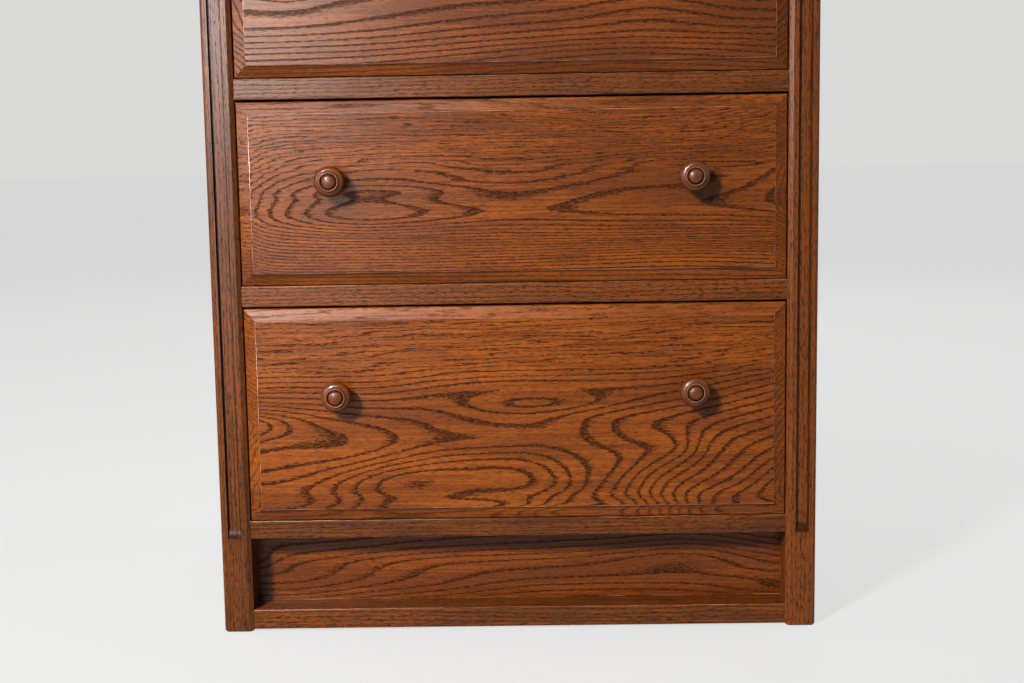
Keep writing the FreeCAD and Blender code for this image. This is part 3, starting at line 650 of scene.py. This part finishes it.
class TurnKnobs(bpy.types.Operator):
    """Turn the knobs on the drawer fronts"""

    bl_idname = "chest.turn_knobs"
    bl_label = "Turn the knobs"

    # Radius and reach out from the drawer front of each corner of the turning, in millimetres
    PROFILE = (
        (0.0, -20.0), (6.0, -20.0), (6.0, 0.0), (10.0, 0.0), (9.2, 2.4), (8.0, 5.0), (8.8, 9.0),
        (12.0, 12.0), (14.3, 14.4), (14.75, 17.0), (14.1, 19.6), (12.2, 21.8), (9.9, 22.5), (9.4, 24.3),
        (8.6, 25.1), (7.9, 24.4), (7.6, 22.4), (7.1, 22.4), (6.8, 24.1), (5.6, 25.9), (2.9, 26.8),
        (0.0, 27.0),
    )

    def execute(self, context):
        low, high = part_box("drawer_1_knobs")
        radius = (high.z - low.z) / 2
        face = FRONT_FACE * MM
        first = Vector((low.x + radius, face, low.z + radius))
        knob = self.turned("knob", first)
        for level in LEVELS:
            node = "drawer_%d_knobs" % level
            low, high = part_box(node)
            pair = []
            for x in (low.x + radius, high.x - radius):
                pick(knob)
                bpy.ops.object.duplicate()
                copy = context.object
                bpy.ops.transform.translate(value=Vector((x, face, low.z + radius)) - first)
                bpy.ops.object.transform_apply(location=True, rotation=False, scale=False)
                pair.append(copy)
            pick(*pair)
            bpy.ops.object.join()
            made = context.object
            made.name = made.data.name = "turned_knobs_%d" % level
            place = (high.x - radius) / MM, (low.z + radius) / MM
            made.data.materials.append(turned_oak("turned_oak_%d" % level, *place, context.scene.chest_oak))
            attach(made, "drawer_%d" % level)
            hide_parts(node)
        bpy.data.objects.remove(knob)
        return {"FINISHED"}

    def turned(self, name, place):
        """One knob, turned about the line out of the drawer front."""
        bpy.ops.object.select_all(action="DESELECT")
        bpy.ops.mesh.primitive_plane_add(size=MM)
        knob = bpy.context.object
        knob.name = name
        bpy.ops.object.mode_set(mode="EDIT")
        bpy.ops.mesh.select_mode(type="VERT")
        bpy.ops.mesh.select_all(action="SELECT")
        bpy.ops.mesh.merge(type="CENTER")
        here = Vector()
        for radius, reach in self.PROFILE:
            corner = place + Vector((radius, -reach, 0.0)) * MM
            if here.length:
                bpy.ops.mesh.extrude_region_move(TRANSFORM_OT_translate={"value": corner - here})
            else:
                bpy.ops.transform.translate(value=corner - here)
            here = corner
        bpy.ops.mesh.select_all(action="SELECT")
        bpy.ops.mesh.bevel(affect="VERTICES", offset_type="PERCENT", offset_pct=32, segments=3)
        bpy.ops.mesh.select_all(action="SELECT")
        bpy.ops.mesh.spin(steps=56, angle=math.tau, center=place, axis=(0.0, 1.0, 0.0))
        bpy.ops.mesh.select_all(action="SELECT")
        bpy.ops.mesh.remove_doubles(threshold=MERGE)
        bpy.ops.mesh.normals_make_consistent(inside=False)
        bpy.ops.object.mode_set(mode="OBJECT")
        bpy.ops.object.shade_smooth_by_angle(angle=math.radians(40))
        return knob


class SetStage(bpy.types.Operator):
    """Put in the floor, the lights and the camera"""

    bl_idname = "chest.set_stage"
    bl_label = "Set the stage"

    # Places on the front that the lamps are aimed at
    MIDDLE = (0.0, -0.2, 0.35)
    LOWER_LEFT = (-0.24, -0.2, 0.20)
    # How wide the key light's beam opens
    KEY_BEAM = math.radians(70)
    # Lights that show the sides and the back
    FILL_SIZE = 1.40
    FILLS = {"left": (-2.2, 0.5, 1.8), "back": (0.4, 2.5, 1.9), "right": (2.2, 0.4, 1.8)}
    # How much stronger than the backdrop the floor glows, and its share of what the camera sees
    GLOW = 1.56
    GLOW_SHARE = 0.6

    def execute(self, context):
        studio = context.scene.chest_studio
        bpy.ops.object.select_all(action="DESELECT")
        bpy.ops.mesh.primitive_plane_add(size=24.0)
        floor = context.object
        floor.name = "floor"
        floor.data.materials.append(self.floor_finish(studio))

        window = studio.window_power
        key = self.lamp(context, "key", (-1.25, -2.35, 1.68), 0.35, studio.key_power, self.LOWER_LEFT)
        key.data.spread = self.KEY_BEAM
        # Lamps that show in the gloss alone
        for name, place, size, power in (
            ("top", (-0.40, -1.55, 1.38), 0.60, studio.top_power),
            ("window", (-0.64, -1.81, 0.78), 0.50, window),
            ("low", (-0.52, -1.81, 0.24), 0.60, window * 0.18),
            ("side", (-1.25, -1.05, 0.62), 0.50, window * 0.35),
        ):
            self.lamp(context, name, place, size, power, self.MIDDLE).visible_diffuse = False
        for name, place in self.FILLS.items():
            self.lamp(context, name, place, self.FILL_SIZE, studio.fill_power, self.MIDDLE)

        room = Shading(bpy.data.worlds.new("room"))
        level = room.seen() * (studio.backdrop - studio.room) + studio.room
        light = room.node("ShaderNodeBackground", None, {"Color": (1.0, 0.995, 0.99), "Strength": level})
        room.node("ShaderNodeOutputWorld", None, {"Surface": light})
        context.scene.world = room.owner

        camera = bpy.data.objects.new("camera", bpy.data.cameras.new("camera"))
        context.collection.objects.link(camera)
        camera.data.sensor_width = 36.0
        camera.data.lens = studio.lens
        camera.location = studio.camera_place
        camera.rotation_euler = studio.camera_turn
        context.scene.camera = camera
        context.scene.view_settings.view_transform = "Standard"
        return {"FINISHED"}

    @staticmethod
    def lamp(context, name, place, size, power, aim):
        """A soft square light aimed at a place on the chest."""
        light = bpy.data.lights.new(name, "AREA")
        light.shape = "SQUARE"
        light.size = size
        light.energy = power
        lamp = bpy.data.objects.new(name, light)
        context.collection.objects.link(lamp)
        lamp.location = place
        lamp.visible_camera = False
        lamp.rotation_euler = (Vector(aim) - lamp.location).to_track_quat("-Z", "Y").to_euler()
        return lamp

    def floor_finish(self, studio):
        """A pale matt floor that keeps the chest's shadow."""
        finish = Finish("pale_floor")
        speckle = finish.noise(finish.point(finish.axes["X"], finish.axes["Y"]), (7.0, 7.0, 7.0), 3.0)
        colour = finish.mix(speckle * 0.06, studio.floor, (0.5, 0.5, 0.5))
        matt = finish.surface(colour, 0.8, speckle, 0.02, Specular_IOR_Level=0.1)
        light = {"Color": (1.0, 1.0, 1.0), "Strength": studio.backdrop * self.GLOW}
        glow = finish.node("ShaderNodeEmission", None, light)
        share = finish.seen() * self.GLOW_SHARE
        return finish.done(finish.node("ShaderNodeMixShader", None, {0: share, 1: matt, 2: glow}))


class ChestPanel(bpy.types.Panel):
    """The chest's settings and steps"""

    bl_idname = "VIEW3D_PT_chest"
    bl_label = "Chest of drawers"
    bl_space_type = "VIEW_3D"
    bl_region_type = "UI"
    bl_category = "Chest"

    def draw(self, context):
        for group in GROUPS:
            settings = getattr(context.scene, group)
            for name in settings.__annotations__:
                self.layout.prop(settings, name)
        for step in STEPS:
            self.layout.operator(step.bl_idname)


GROUPS = {"chest_oak": OakColours, "chest_studio": StudioSettings}
STEPS = (FinishFronts, FinishFrame, FinishInsides, TurnKnobs, SetStage)


def register():
    for kind in (*GROUPS.values(), *STEPS, ChestPanel):
        bpy.utils.register_class(kind)
    for name, kind in GROUPS.items():
        setattr(bpy.types.Scene, name, bpy.props.PointerProperty(type=kind))


def unregister():
    for name in GROUPS:
        delattr(bpy.types.Scene, name)
    for kind in reversed((*GROUPS.values(), *STEPS, ChestPanel)):
        bpy.utils.unregister_class(kind)


def main():
    register()
    for step in STEPS:
        family, name = step.bl_idname.split(".")
        getattr(getattr(bpy.ops, family), name)()


if __name__ == "__main__":
    main()
